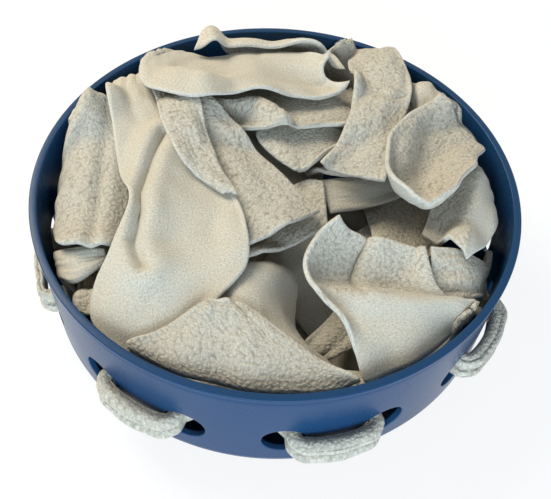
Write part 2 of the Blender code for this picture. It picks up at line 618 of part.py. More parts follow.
def make_fleece(collection):
    # Lay every tail in order, then join each pair of tails by its loop
    heap = Heap()
    tails = {name: make_tail(name, heap) for name in lay_order}
    for pair in range(hole_count // 2):
        for layer in ("lower", "upper"):
            names = [str(k) + "_" + layer for k in (2 * pair, 2 * pair + 1)]
            first, second = tails[names[0]], tails[names[1]]
            loop, loop_thickness = make_loop(pair, layer)
            grid = np.concatenate([first[0][::-1, ::-1], loop, second[0]])
            thickness = np.concatenate([first[1][::-1, ::-1], loop_thickness, second[1]])
            upper, lower = two_sides(grid, thickness)
            start, end = 0, len(grid)
            if first[2]:
                start = len(first[0]) - first[2]
                hinge = hinge_point(upper[start - 1], upper[0])
                closed_sheet(lifting_names[names[0]], upper[:start], lower[:start], hinge, collection)
            if second[2]:
                end = len(grid) - len(second[0]) + second[2]
                hinge = hinge_point(upper[end], upper[-1])
                closed_sheet(lifting_names[names[1]], upper[end:], lower[end:], hinge, collection)
            name = "fleece_strip_%02d_%s" % (pair + 1, layer)
            closed_sheet(name, upper[start:end], lower[start:end], np.zeros(3), collection)


def main():
    for old in list(bpy.data.objects):
        bpy.data.objects.remove(old, do_unlink=True)
    collection = bpy.data.collections.new("snuffle_bowl")
    cutters = bpy.data.collections.new("cutters")
    bpy.context.scene.collection.children.link(collection)
    bpy.context.scene.collection.children.link(cutters)
    make_bowl(collection, cutters)
    make_fleece(collection)


main()
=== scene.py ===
# Snuffle bowl: a glossy blue plastic bowl with wide beige fleece strips laced through its wall
import math

import bmesh
import bpy
import numpy as np
from mathutils import Matrix, Vector


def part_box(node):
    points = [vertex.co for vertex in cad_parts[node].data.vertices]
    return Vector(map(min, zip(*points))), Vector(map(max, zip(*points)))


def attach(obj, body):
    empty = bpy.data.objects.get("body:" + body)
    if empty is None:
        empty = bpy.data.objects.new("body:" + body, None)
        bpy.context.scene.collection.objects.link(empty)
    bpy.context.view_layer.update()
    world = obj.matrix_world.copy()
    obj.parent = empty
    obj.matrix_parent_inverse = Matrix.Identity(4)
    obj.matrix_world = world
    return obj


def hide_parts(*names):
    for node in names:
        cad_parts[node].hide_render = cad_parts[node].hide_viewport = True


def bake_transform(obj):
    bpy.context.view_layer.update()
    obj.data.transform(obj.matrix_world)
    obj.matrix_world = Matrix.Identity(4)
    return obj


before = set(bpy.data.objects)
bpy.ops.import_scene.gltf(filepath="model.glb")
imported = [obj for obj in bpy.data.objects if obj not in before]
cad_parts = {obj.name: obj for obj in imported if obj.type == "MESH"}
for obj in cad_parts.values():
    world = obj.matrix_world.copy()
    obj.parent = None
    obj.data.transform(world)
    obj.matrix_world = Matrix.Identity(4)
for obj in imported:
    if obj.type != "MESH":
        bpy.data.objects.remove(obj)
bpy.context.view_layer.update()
print("frame loaded:", len(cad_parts), "nodes")

bowlLow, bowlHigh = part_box("bowl")
bowl = {
    "rimRadius": (bowlHigh[0] - bowlLow[0]) / 2, "height": bowlHigh[2] - bowlLow[2], "wall": .0036,
    "floorThickness": .0036, "rimWidth": .0045, "rimDepth": .0029,
    "rimOverhang": .0012, "rimEdge": .00075, "grooveDepth": .0003,
    "wallLean": .0013, "baseCorner": .012, "footHeight": .0008,
    "footInset": .022, "holes": 16, "holeRadius": .0125,
    "holeHeight": .035, "firstHole": math.radians(-84.4), "holeEdge": .0006,
    "bandHalfHeight": .017, "columns": 16, "weld": .00015,
}
innerRadius = bowl["rimRadius"] - bowl["rimWidth"]
outerTop = bowl["rimRadius"] - bowl["rimOverhang"]
outerBase = outerTop - bowl["wallLean"]
holePitch = 2 * math.pi / bowl["holes"]
planSquare = innerRadius / 14
bowlHeight = bowl["height"]


def angleOf(hole):
    return bowl["firstHole"] + hole * holePitch


# Mesh helpers

def newObject(name, data):
    thing = bpy.data.objects.new(name, data)
    bpy.context.scene.collection.objects.link(thing)
    return thing


def newPiece(name, points, faces, material):
    mesh = bpy.data.meshes.new(name)
    mesh.from_pydata(points.tolist(), [], faces.tolist())
    mesh.update()
    mesh.shade_smooth()
    mesh.materials.append(material)
    return newObject(name, mesh)


def weld(piece, distance):
    # Joins corners that meet, closes what is still open and turns the faces outward
    build = bmesh.new()
    build.from_mesh(piece.data)
    bmesh.ops.remove_doubles(build, verts=build.verts, dist=distance)
    bmesh.ops.holes_fill(build, edges=[e for e in build.edges if e.is_boundary], sides=0)
    bmesh.ops.recalc_face_normals(build, faces=build.faces)
    build.to_mesh(piece.data)
    build.free()
    piece.data.shade_smooth()


def gridFaces(rows, columns, closed=False):
    # Quads between neighbouring rows and columns, and round the seam where the grid is closed
    index = np.arange(rows * columns).reshape(rows, columns)
    if closed:
        index = np.concatenate([index, index[:, :1]], axis=1)
    return np.stack([index[:-1, :-1], index[:-1, 1:], index[1:, 1:], index[1:, :-1]], -1).reshape(-1, 4)


def softWaves(points, wavelength, seed, count=7):
    # A sum of sine waves that run in random directions, about -1 to 1 everywhere
    random = np.random.default_rng(seed)
    total = np.zeros(points.shape[:-1])
    for _ in range(count):
        heading = random.normal(size=3)
        heading /= np.linalg.norm(heading) * wavelength * random.uniform(.7, 1.4)
        total += np.sin(points @ heading * 2 * math.pi + random.uniform(0, 2 * math.pi))
    return total / math.sqrt(count * 2)


def evened(field, times):
    # Each value becomes the mean of itself and its neighbours, several times over
    for _ in range(times):
        padded = np.pad(field, 1, mode="edge")
        field = (padded[:-2, 1:-1] + padded[2:, 1:-1] + padded[1:-1, :-2] + padded[1:-1, 2:]
                 + 2 * padded[1:-1, 1:-1]) / 6
    return field


def widened(field, times):
    # Each value becomes the largest of its neighbours, several times over
    for _ in range(times):
        padded = np.pad(field, 1, mode="edge")
        rows, columns = field.shape
        field = np.max([padded[i:i + rows, j:j + columns] for i in range(3) for j in range(3)], axis=0)
    return field


# Shader maths

class Sock:
    # A socket or a number, so that materials are written as sums
    def __init__(self, board, value):
        self.board = board
        self.value = value

    def maths(self, operation, *others):
        return self.board.add("ShaderNodeMath", {"operation": operation}, [self] + list(others))

    def __add__(self, other): return self.maths("ADD", other)
    def __sub__(self, other): return self.maths("SUBTRACT", other)
    def __rsub__(self, other): return Sock(self.board, other).maths("SUBTRACT", self)
    def __mul__(self, other): return self.maths("MULTIPLY", other)
    def __pow__(self, other): return self.maths("POWER", other)
    __radd__, __rmul__ = __add__, __mul__


class Board:
    # The node tree of a material or the world
    def __init__(self, owner):
        owner.use_nodes = True
        self.material = owner
        self.tree = owner.node_tree
        self.shader = self.tree.nodes.get("Principled BSDF")

    def add(self, kind, settings={}, values=(), output=0):
        node = self.tree.nodes.new(kind)
        for name, value in settings.items():
            setattr(node, name, value)
        pairs = values.items() if isinstance(values, dict) else enumerate(values)
        for name, value in pairs:
            self.feed(node.inputs[name], value)
        return Sock(self, node.outputs[output])

    def feed(self, socket, value):
        value = value.value if isinstance(value, Sock) else value
        if isinstance(value, bpy.types.NodeSocket):
            self.tree.links.new(value, socket)
        else:
            socket.default_value = value

    def set(self, values):
        for name, value in values.items():
            self.feed(self.shader.inputs[name], value)

    def mix(self, share, first, second):
        return self.add("ShaderNodeMix", {"data_type": "RGBA"}, {0: share, 6: first, 7: second}, 2)

    def objectPlace(self):
        return self.add("ShaderNodeTexCoord", {}, (), 3)

    def noise(self, place, scale, detail=2, roughness=.5):
        return self.add("ShaderNodeTexNoise", {}, {"Vector": place, "Scale": scale, "Detail": detail,
                                                   "Roughness": roughness})

    def attribute(self, name):
        return self.add("ShaderNodeAttribute", {"attribute_name": name}, (), 2)

    def bump(self, height, distance, strength=1, under=None):
        values = {"Height": height, "Distance": distance, "Strength": strength}
        if under is not None:
            values["Normal"] = under
        return self.add("ShaderNodeBump", {}, values)


plastic = {
    "colour": (.009, .043, .108, 1), "shade": (.008, .038, .097, 1), "roughness": .16,
    "unevenness": .1, "specular": .14, "patchSize": .035, "scuffSize": .0009,
    "orangePeelSize": .004, "orangePeelDepth": .00002,
}


def plasticMaterial():
    # Moulded plastic: patches of slightly unlike gloss, fine scuffs and a faint orange peel
    board = Board(bpy.data.materials.new("bluePlastic"))
    place = board.objectPlace()
    patches = board.noise(place, 1 / plastic["patchSize"], 3)
    scuffs = board.noise(place, 1 / plastic["scuffSize"], 4, .7)
    peel = board.noise(place, 1 / plastic["orangePeelSize"], 2)
    board.set({"Base Color": board.mix(patches, plastic["colour"], plastic["shade"]),
               "Roughness": patches * plastic["unevenness"] + scuffs * plastic["unevenness"]
               + plastic["roughness"], "Specular IOR Level": plastic["specular"],
               "Normal": board.bump(peel, plastic["orangePeelDepth"])})
    return board.material


fleece = {
    "warm": (.5, .435, .32, 1), "pale": (.57, .51, .39, 1), "light": (.69, .665, .59, 1),
    # The next colour darkens the speckle and is also the painted shade in the nubby crevices; the one after
    # it is the painted highlight on cut edges
    "speckleDarkAndCreviceShade": (.235, .21, .165, 1), "edge": (.6, .58, .52, 1), "lumpSize": .002,
    "lumpDepth": .0008, "warpSize": .004, "warpReach": .0024,
    "tuftSize": .001, "tuftDepth": .0005, "threadSize": .0014,
    "threadDepth": .0003, "patchSize": .035, "roughness": .95, "sheen": .15, "specular": .15,
}


def fleeceMaterial():
    # Speckled with tufts. One side has soft lumps with painted shade in the crevices between them, the other
    # fine threads. Cut edges get a painted highlight.
    board = Board(bpy.data.materials.new("beigeFleece"))
    place = board.add("ShaderNodeUVMap", {"uv_map": "flat"})
    nubby = board.attribute("nubby")
    # Share of painted highlight along the cut edges
    edge = board.attribute("paintedEdgeLight")
    warp = board.add("ShaderNodeTexNoise", {}, {"Vector": place, "Scale": 1 / fleece["warpSize"],
                                                "Detail": 1}, 1)
    bent = board.add("ShaderNodeVectorMath", {"operation": "MULTIPLY_ADD"},
                     [warp, [fleece["warpReach"]] * 3, place])
    domes = board.add("ShaderNodeTexVoronoi", {"feature": "SMOOTH_F1"},
                      {"Vector": bent, "Scale": 1 / fleece["lumpSize"], "Smoothness": .5})
    lumps = board.noise(place, .6 / fleece["lumpSize"], 2)
    tufts = board.noise(place, 1 / fleece["tuftSize"], 2, .8)
    patches = board.noise(place, 1 / fleece["patchSize"], 3)
    threads = board.add("ShaderNodeTexWave", {"bands_direction": "X", "wave_profile": "SIN"},
                        {"Vector": place, "Scale": 1 / fleece["threadSize"] / 2 / math.pi,
                         "Distortion": 3, "Detail": 2, "Detail Scale": 60}, 1)
    speckle = board.add("ShaderNodeMapRange", {}, [tufts, .32, .68, 0, 1])
    # Share of painted shade on the nubby side, growing from each lump's top towards the crevices between
    # lumps
    depth = (domes * 1.3 + lumps * .2) ** 2.6 * nubby * .45
    base = board.mix(patches, fleece["warm"], fleece["pale"])
    dark = board.mix(.5, base, fleece["speckleDarkAndCreviceShade"])
    bright = board.mix(.6, base, fleece["light"])
    grain = board.mix(speckle, dark, bright)
    # Painted shade: the crevices between the lumps are darkened
    shaded = board.mix(depth, grain, fleece["speckleDarkAndCreviceShade"])
    # Painted highlight: the cut edges are lightened towards a pale colour where they would catch the light
    colour = board.mix(edge * .35, shaded, fleece["edge"])
    lumpHeight = (1 - domes + lumps * .4) * nubby
    smoothHeight = threads * .3 * (1 - nubby)
    fine = board.bump(tufts, fleece["tuftDepth"], .9)
    low = board.bump(smoothHeight, fleece["threadDepth"], .5, fine)
    board.set({"Base Color": colour, "Roughness": fleece["roughness"], "Sheen Weight": fleece["sheen"],
               "Specular IOR Level": fleece["specular"], "Sheen Tint": (1, .97, .9, 1),
               "Normal": board.bump(lumpHeight, fleece["lumpDepth"], .9, low)})
    return board.material


# The bowl

def arc(centreRadius, centreHeight, radius, start, end, count):
    # Part of a circle: its centre plus the radius times the cosine and sine of each angle
    angles = np.radians(np.linspace(start, end, count))
    return np.stack([centreRadius + radius * np.cos(angles), centreHeight + radius * np.sin(angles)], 1)


def wallRadius(height, inside):
    # The wall leans out by a straight line from the base corner to the rim
    low, high = bowl["baseCorner"], bowlHeight - bowl["rimDepth"]
    share = (height - low) / (high - low)
    return outerBase + (outerTop - outerBase) * share - bowl["wall"] * inside


def bowlProfiles():
    # Two runs of radius and height, outward side on the left: over the rim, and under the floor
    rim, edge = bowl["rimRadius"], bowl["rimEdge"]
    bandLow = bowl["holeHeight"] - bowl["bandHalfHeight"]
    bandHigh = bowl["holeHeight"] + bowl["bandHalfHeight"]
    under = bowlHeight - bowl["rimDepth"]
    fillet = .0005
    groove = under - .0016
    outerLip = wallRadius(under, 0)

    def onWall(height, inside=0):
        return wallRadius(height, inside), height

    over = np.concatenate([
        np.linspace(onWall(bandHigh), onWall(groove - .0009), 8),
        [(wallRadius(groove, 0) - bowl["grooveDepth"], groove)],
        np.linspace(onWall(groove + .0007), (outerLip + .0001, under - .0004), 2),
        [(outerLip + .0006, under - .0001)],
        arc(rim - fillet, under + fillet, fillet, -80, 0, 5),
        arc(rim - edge, bowlHeight - edge, edge, 0, 90, 7),
        arc(innerRadius + edge, bowlHeight - edge, edge, 90, 180, 7),
        np.linspace((innerRadius - .0001, under), onWall(bandHigh, 1), 9)])
    corner, wall, floor = bowl["baseCorner"], bowl["wall"], bowl["floorThickness"]
    inner = corner - wall
    footRadius, foot = outerBase - bowl["footInset"], bowl["footHeight"]
    lowRun = np.concatenate([
        np.linspace(onWall(bandLow, 1), (outerBase - wall, corner + .001), 4),
        arc(outerBase - corner, floor + inner, inner, 0, -90, 12),
        np.linspace((outerBase - corner - .004, floor), (.004, floor), 22),
        [(.0001, floor)]])
    baseRun = np.concatenate([
        [(.0001, 0)],
        np.linspace((.004, 0), (footRadius - .0006, 0), 16),
        np.linspace((footRadius + .0002, .0002), (footRadius + foot, foot), 3),
        arc(outerBase - corner, corner, corner, -84, 0, 14),
        np.linspace((outerBase, corner + .001), onWall(bandLow), 4)])
    return over, lowRun, baseRun


def turned(profile, columns):
    # A profile carried round the axis, one column for each angle
    angles = bowl["firstHole"] + (np.arange(columns) / columns - .5 / bowl["holes"]) * 2 * math.pi
    radius, height = profile[:, 0][:, None], profile[:, 1][:, None]
    points = np.stack([radius * np.cos(angles), radius * np.sin(angles), height + 0 * angles], -1)
    return points.reshape(-1, 3), gridFaces(len(profile), columns, True)[:, ::-1]


def holeBand():
    # Wall round each hole: rings from the sector's edge to the round hole, through its rounded
    # edges and its bore, and out again on the inside
    steps = bowl["columns"]
    radius, edge, middle = bowl["holeRadius"], bowl["holeEdge"], bowl["holeHeight"]
    ramp = np.linspace(-1, 1, steps, endpoint=False)
    one = np.ones(steps)
    side = np.concatenate([ramp, one, -ramp, -one]) * holePitch / 2
    rise = np.concatenate([-one, ramp, one, -ramp]) * bowl["bandHalfHeight"]
    around = np.arctan2(rise, side * outerTop)

    def wallRings(inside):
        # The sector's edge turns into a circle a little wider than the hole
        out = []
        for share in np.linspace(0, 1, 9) ** .8:
            across = np.arcsin((radius + edge) * np.cos(around) / wallRadius(middle, inside))
            turn = side * (1 - share) + across * share
            height = middle + rise * (1 - share) + (radius + edge) * np.sin(around) * share
            out.append((turn, height, wallRadius(height, inside)))
        return out

    def boreRing(angle, inside):
        # The hole's rounded edge: a quarter circle from the wall's face to the bore
        hole = radius + edge * (1 - math.sin(angle))
        height = middle + hole * np.sin(around)
        reach = wallRadius(height, inside) + edge * (1 - math.cos(angle)) * (1 if inside else -1)
        turn = np.arcsin(hole * np.cos(around) / reach)
        return turn, height, reach

    bends = np.radians([25, 50, 70, 90])
    rings = wallRings(0) + [boreRing(angle, 0) for angle in bends]
    rings += [boreRing(angle, 1) for angle in bends[::-1]] + wallRings(1)[::-1]
    turn, height, reach = [np.array([ring[i] for ring in rings]) for i in range(3)]
    points, faces = [], []
    for k in range(bowl["holes"]):
        angle = angleOf(k) + turn
        points.append(np.stack([reach * np.cos(angle), reach * np.sin(angle), height], -1).reshape(-1, 3))
        faces.append(gridFaces(len(rings), 4 * steps, True) + k * turn.size)
    return np.concatenate(points), np.concatenate(faces)


def makeBowl(material):
    columns = bowl["columns"] * bowl["holes"]
    bands = [turned(run, columns) for run in bowlProfiles()] + [holeBand()]
    starts = np.cumsum([0] + [len(points) for points, _ in bands])
    points = np.vstack([points for points, _ in bands])
    faces = np.vstack([faces + start for (_, faces), start in zip(bands, starts)])
    piece = newPiece("plasticBowl", points, faces, material)
    weld(piece, bowl["weld"])
    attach(piece, "laced_bowl")
    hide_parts("bowl")
    return piece


# The fleece. Shares and places are those of the solids, with more rows, folds and rolled lips.

strip = {
    "thickness": .003, "holeSideClearance": .0006, "stripGap": .0006,
    "loopStandoff": .0012, "loopDepth": .0094, "loopStep": .0018,
    "tautPairs": [6], "tautShare": .55, "riserWidth": .034,
    "riserThickness": .005, "layGap": .0006, "wallClearance": .0012,
    "hingeGap": .0006, "columns": 49, "hiddenColumns": 25,
    "rowStep": .0027, "heapCell": .0026, "pleats": 1.7,
    "pleatDepth": .32, "gatherDepth": .0018, "gatherReach": .022,
    "crumple": .0012, "crumpleSize": .036, "ripple": .0003,
    # The last value below is the width of the painted highlight along cut edges
    "rippleSize": .012, "waveWidth": .04, "paintedEdgeLight": .0014,
    "bendLength": .014, "layPasses": 16, "riseRows": 14,
    "mostRise": .024, "shortfall": .0003, "weld": .00002, "creaseWidth": .045, "turnLength": .06,
    "gathers": 11, "shortGather": .3, "sideStep": .2, "sheetStep": .37,
}
lobeHalfWidth = .345 * bowl["holeRadius"]
lobeHalfHeight = .385 * bowl["holeRadius"]
lobeRise = lobeHalfHeight + strip["stripGap"] / 2
lobeOffset = lobeHalfWidth + strip["holeSideClearance"]
wallMiddle = outerTop - bowl["wall"] / 2

# The loop from inside the wall to its middle: how far out, how far round, how square to the wall
loopShares = [(0, 0, 1), (.30, .01, .85), (.70, .14, .42), (1, .62, .05)]
tautShares = [(0, 0, 1), (.50, .01, .90), (.95, .08, .55), (1, .60, .05)]

# The riser up the wall's inside: in, up, half width, thickness and roundness
riserShares = {
    "upper": [(.75, .15, .5, 1.5, .6), (1, 1.2, .8, 1, .2), (1.1, 2.2, 1, .8, 0)],
    "lower": [(1.68, .1, .5, 1.4, .6), (2.74, .8, .8, 1, .2), (2.94, 1.9, 1, .8, 0)],
    "floor": [(1.68, -.1, .5, 1.4, .6), (3.61, -.5, .8, 1, .2)]}

# Rows of each flap: x, y and height of its two edges, in plan squares and as a share of the
# bowl's height, then the middle's rise and how far it lies back, both zero where left out
tailShares = {
    "0_upper": [(-7, -11.5, .88, 4.9, -12.6, .87, -.02, 1.2), (-5.6, -10.7, .95, 3.1, -11.8, .94, .03, .2),
        (-4.3, -9.8, .99, .8, -10.4, .98, .03), (-3.2, -9.1, .99, -1.5, -9, .99)],
    "1_upper": [(3.5, -12.3, .7, 5.4, -11.2, .68, .02), (.5, -11.5, .83, 2.9, -10.2, .7, .08),
        (-1.9, -9.7, .91, 1.6, -8.7, .68, .14), (-2.7, -7.9, .92, 1.5, -7, .64, .18),
        (-2.3, -6.3, .88, 1.6, -5.5, .62, .16), (-1.2, -5, .76, 1.2, -4.5, .62, .08)],
    "2_upper": [(5.3, -12.4, .85, 11.2, -7.7, .85, 0, .4), (4.6, -11.2, .96, 11, -7.4, .94, .01, .1),
        (3.9, -9.9, 1, 10.3, -7.6, .98, .02), (2.4, -8.6, 1.04, 9.6, -7.5, .98, .01),
        (1.7, -7.2, 1.06, 9, -6.9, .99, -.05), (2.3, -5.6, 1.1, 8.6, -5.9, 1.03, -.04),
        (3.5, -4.4, 1.14, 8.3, -5, 1.08)],
    "3_upper": [(11.9, -6.1, .79, 12.7, -3.6, .79), (11.3, -6.9, .9, 11.6, -4.2, .92, .02),
        (10.4, -7.2, .93, 10.3, -4.4, 1.02, .02), (8.9, -7.2, .93, 8.7, -4.7, 1.08)],
    "4_upper": [(13.1, -1.2, .88, 12.5, 2.7, .9, .02, .3), (12.7, -2.6, .98, 11.4, 2.2, 1.02, .03),
        (11.9, -4, .98, 9.8, .2, .98, .04), (10.6, -5.5, .92, 8.6, -2.7, .92, .03)],
    "5_upper": [(12.8, 3.9, .98, 9.9, 6.8, 1, 0, .2), (12.2, 2.8, 1.03, 8.1, 5.5, 1.03, -.03),
        (11.7, 1.3, 1.08, 6.6, 3.2, 1.09, -.1), (10.6, -.4, 1.15, 6.2, .5, 1.16, -.15),
        (9.9, -1.6, 1.18, 6.6, -1.2, 1.18, -.08, -.4), (9.3, -2.2, 1.18, 7.3, -2, 1.18, -.02, -.5)],
    "6_upper": [(10.6, 9, .92, 8.5, 10, .95, .04), (10.4, 7.9, 1.01, 8.2, 8.4, 1.03, .08),
        (10.3, 6.3, 1, 8.4, 6.6, 1.02, .06)],
    "7_upper": [(4.6, 12.1, .96, 7.3, 11.5, 1.12, .05), (4.1, 10.8, 1.04, 7.9, 9.8, 1.13, .05),
        (4.4, 8.4, 1.08, 8.1, 7.4, 1.11, .03), (4.3, 5.8, 1.06, 7.7, 5.2, 1.09, .02),
        (3.6, 3.4, 1.01, 7.1, 2.6, 1.06), (2.5, 1.5, .95, 6.4, .3, 1.02)],
    "8_upper": [(-4.4, 12.4, .9, 2.6, 12.8, .88, 0, .2), (-5.2, 12, 1, 3, 12.2, .98, .03, .2),
        (-5.9, 11.2, 1.02, 3.6, 11.4, 1, .05), (-6.1, 9.8, 1.02, 4, 10.4, 1.02, .04, .9)],
    "9_upper": [(-6.6, 10.6, .88, -9.4, 8.2, .9, .05), (-5.9, 10.2, 1, -8.8, 5.8, 1.06, .05),
        (-3.2, 10.9, 1.02, -5.1, 4.1, 1.12, .05), (-1.2, 11.2, 1.02, -2.4, 5.6, 1.16, .03),
        (.4, 11.1, 1.05, .3, 6.1, 1.1, .01, .2), (1.6, 10.6, 1.12, 2.2, 6.4, 1.09, -.05, .6),
        (2.8, 9.6, 1.18, 4.1, 7.6, 1.11, -.09, .8)],
    "10_upper": [(-11.1, 7.7, .97, -9.2, 8.6, .98, .03), (-11, 5.4, 1.03, -7.9, 5.8, 1.04, .05),
        (-10.2, 2.6, 1.04, -6, 3.2, 1.03, .05), (-9.3, -.6, 1.04, -4.4, .8, 1.03, .04),
        (-8.1, -3.6, 1.08, -2.4, -1.8, 1.03, .03), (-8.6, -5.9, 1.05, -1.5, -4.2, 1, .03),
        (-9.4, -8.2, .96, -1.3, -6.6, .99, .05), (-9, -10.4, .88, -2.6, -8.8, .95, .03),
        (-7.2, -11.6, .8, -3.6, -10.2, .88, .02)],
    "11_upper": [(-13, 3.2, .93, -12.2, 5.5, .93), (-12.9, 3.4, 1.04, -12.1, 5.5, 1.06, .02),
        (-11.7, 3.6, 1.03, -11.3, 5, 1, .02)],
    "12_upper": [(-13, 2.6, .86, -12.3, -5, .86, 0, .3), (-12.4, 4.2, .95, -11.9, -5.7, .92, 0, .2),
        (-11.2, 5, .97, -10.4, -5.9, .93, .03), (-8.8, 4, .92, -8, -5.5, .88, .02)],
    "13_upper": [(-12.3, -5.4, .84, -11.5, -7.3, .84), (-11.3, -5.5, .91, -10.7, -7.8, .9, .01),
        (-9.4, -5.5, .91, -9, -6.1, .9)],
    "14_upper": [(-8.6, -8.2, .66, -6.8, -9.8, .66), (-5.4, -4.8, .78, -3.6, -7.2, .78, .03),
        (-2, -2, .81, -1, -5.6, .81, .02), (1, 1, .82, 1, -3.9, .84, .01), (2.8, 1.2, .8, 3.2, -2.2, .85)],
    "15_upper": [(-5.4, -10.6, .6, -2.4, -11.2, .6), (-6, -7.6, .68, -1.8, -8.2, .68, .03),
        (-6.4, -4, .66, -2.4, -4.4, .66, .02)],
    "0_lower": [(.6, -10.4, .5, 2.4, -10.2, .5), (2, -9, .56, 3.9, -9.5, .54, .02),
        (3.2, -7.2, .52, 5.4, -8.2, .48, .02), (4.4, -5.2, .46, 6.6, -6.4, .42)],
    "2_lower": [(9.4, -6, .58, 8, -7.6, .58), (8.2, -4.2, .58, 5.4, -5.4, .56, .02),
        (6.6, -1.4, .58, 4.4, -3.2, .56, .02), (6, .4, .56, 4.8, -.8, .54)],
    "5_lower": [(9.6, 6, .56, 10.8, 3.8, .56), (7, 4.2, .68, 8, 1.8, .67, .02),
        (4.6, 2.4, .8, 6, .3, .76, .02), (2.3, 1.5, .83, 3.3, -.8, .79, .02)],
    "6_lower": [(6.4, 8.6, .66, 8.2, 7.2, .66), (5, 6.6, .72, 7.6, 5.4, .72, -.03),
        (3.4, 4.8, .76, 7.4, 3.9, .76, -.05), (1.6, 2.6, .8, 6.9, 2.6, .8, -.04, -1)],
    "7_lower": [(1.6, 10.6, .8, 4.6, 10.4, .8), (.2, 8, .87, 5.2, 8, .86, .01),
        (-1.2, 5.6, .94, 5.4, 6, .91, .03), (-1.5, 3.7, .96, 5, 4.5, .93, .02),
        (-.2, 2.1, .96, 3.2, 3, .95, .02), (1, 1.2, .96, 1.8, 1.3, .95)],
    "8_lower": [(-3, 10.6, .88, 1.4, 10.8, .88), (-4.8, 8.6, .94, 4.2, 9, .92, .01),
        (-5.2, 6.5, .98, 5.4, 7.2, .96, -.05), (-5.2, 4.2, 1, 5.7, 5.2, 1.04, -.02, -1)],
    "9_lower": [(-7.3, 9.9, 1, -6, 9.2, 1), (-8.7, 8, 1.03, -7.2, 7.4, 1.03, .02),
        (-7.9, 4.8, 1.09, -5.4, 5.2, 1.1, .03), (-6.8, 1.8, 1.11, -4.5, 2.6, 1.12, .03),
        (-5.3, -.6, 1.1, -3.4, -.2, 1.12, .03), (-3, -2, 1.07, -2.2, -2.2, 1.07)],
    "10_lower": [(-9.4, 5.8, .8, -7.4, 7.6, .8), (-7, 2.6, .92, -4.4, 5.2, .93, .02),
        (-4.8, -.8, .98, -1.4, 2.4, .98, .02), (-1.5, -5.4, .98, 2.6, -2, .97, .02)],
    "4_lower": [(10.4, 2.6, .58, 10.6, -.8, .58), (8.6, 3.2, .62, 9.4, -2.6, .61, .02),
        (7.2, 3, .61, 7.8, -3, .6, .03), (5.6, 1.6, .58, 6.2, -2.4, .57)],
    "11_lower": [(-9.6, 1.2, .6, -8.6, 4.6, .6), (-6.6, 2.6, .66, -5, 6.6, .66, .03),
        (-3, 2.8, .68, -1.6, 7.4, .68, .03), (.4, 2, .68, 1.4, 6.4, .68, .02),
        (2.6, 1.2, .66, 3.2, 5.2, .66)],
    "13_lower": [(-10.3, -7.4, .7, -9.1, -6.6, .7), (-10.6, -8.4, .84, -9, -7.8, .84, .02),
        (-10.4, -9.5, .84, -8.8, -9.5, .84, .01)],
}

# Tails under the heap fan out over the floor
floorTails = "14_lower 15_lower 12_lower 3_lower 1_lower".split()
floorShares = {"reach": [.78, .55, .3, .06], "halfWidth": [.14, .22, .27, .26],
               "height": [.24, .2, .22, .24], "rise": .06,
               "swirl": [.1, .1, .1, .22, .14]}
layOrder = floorTails + (
    "0_lower 2_lower 4_lower 11_lower 15_upper 5_lower 6_lower 1_upper 14_upper 13_lower 13_upper "
    "7_lower 8_lower 10_lower 3_upper 4_upper 11_upper 12_upper 10_upper 9_lower 9_upper 8_upper "
    "6_upper 7_upper 5_upper 2_upper 0_upper").split()

# Waves across a flap that grow towards its end: how many, how high, and where they start
waveShares = {"4_upper": (.8, .015, 0), "8_upper": (2.5, .03, .5),
              "9_upper": (.8, .02, .2), "12_upper": (1.2, .015, 0)}

# Lifting ends: the flap's node, and the row where it bends
hinged = {"0_upper": ("front_flap", 0), "2_upper": ("front_right_flap", 0),
          "5_upper": ("right_flap", 0), "9_lower": ("centre_flap", 2)}

# Tails whose nubby side lies up
nubbyUp = (
    "0_upper 9_lower 10_lower 12_upper 13_lower 5_upper 3_upper 4_upper 8_lower 7_lower 7_upper "
    "2_lower 0_lower 14_upper 4_lower").split()

# Where along a flap its other side comes up, as the sheet turns over there
turnsOver = {"2_upper": .47}

# A line over a flap: it is smooth to the left of the line and nubby to its right
smoothLeft = {"4_upper": [(12.1, 2.6), (12, 1.3), (11.3, -1.3), (10.7, -4.6)]}

# Petals at the end of a flap: where the creases between them run as shares of its width, their
# depth and how much higher each petal's left side stands, in millimetres, and where they start
petals = {"2_upper": ([.38], 7, 4, .45)}

# Ends too short for the gathers to show
shortEnds = "0_lower 3_upper 4_upper 5_upper 7_upper 13_upper 13_lower 11_upper 6_upper".split()

# Folds: a line over the flap in plan squares, then its height and how far it fades to its left
# and right, in millimetres. A negative height is a groove between two rises.
folds = {
    "10_upper": [([(-7.1, 2.3), (-7.4, .6), (-7.6, -1.1), (-7.7, -2.6), (-7.5, -3.7), (-7.5, -4.8),
                   (-7.6, -5.9), (-7.3, -6.7), (-6.9, -7.4)], -10, 5, 3.5)],
    "12_upper": [([(-10.9, 4.2), (-10.6, 1.5), (-10.3, -1.7), (-10, -5.6)], -5, 4, 5)],
    "4_upper": [([(12, 1.3), (11.1, -2), (10.5, -5)], 4, 6, 6)],
    "7_upper": [([(6, 7.1), (6.8, 6.6), (7.7, 7)], -3, 2, 3)],
    "9_upper": [([(-4.9, 5.8), (-3.4, 6.8), (-1.4, 6.6), (1, 7)], 4, 7, 9)],
    "8_upper": [([(-5.1, 12.2), (-4.8, 10.6), (-4.5, 9)], 9, 6, 8)],
    "8_lower": [([(-5.3, 5.2), (-3.6, 5.8), (-2.4, 5.8), (-1.7, 5.7), (-1.1, 5.2), (.1, 4.3)], 12, 4, 6)],
    "10_lower": [([(-4, 2.4), (-.6, -2.4), (.6, -4)], 2, 10, 12)],
    "2_upper": [([(2.8, -8.2), (4.6, -8.1), (6.5, -8), (10.2, -8.1)], 3, 4, 6)],
}

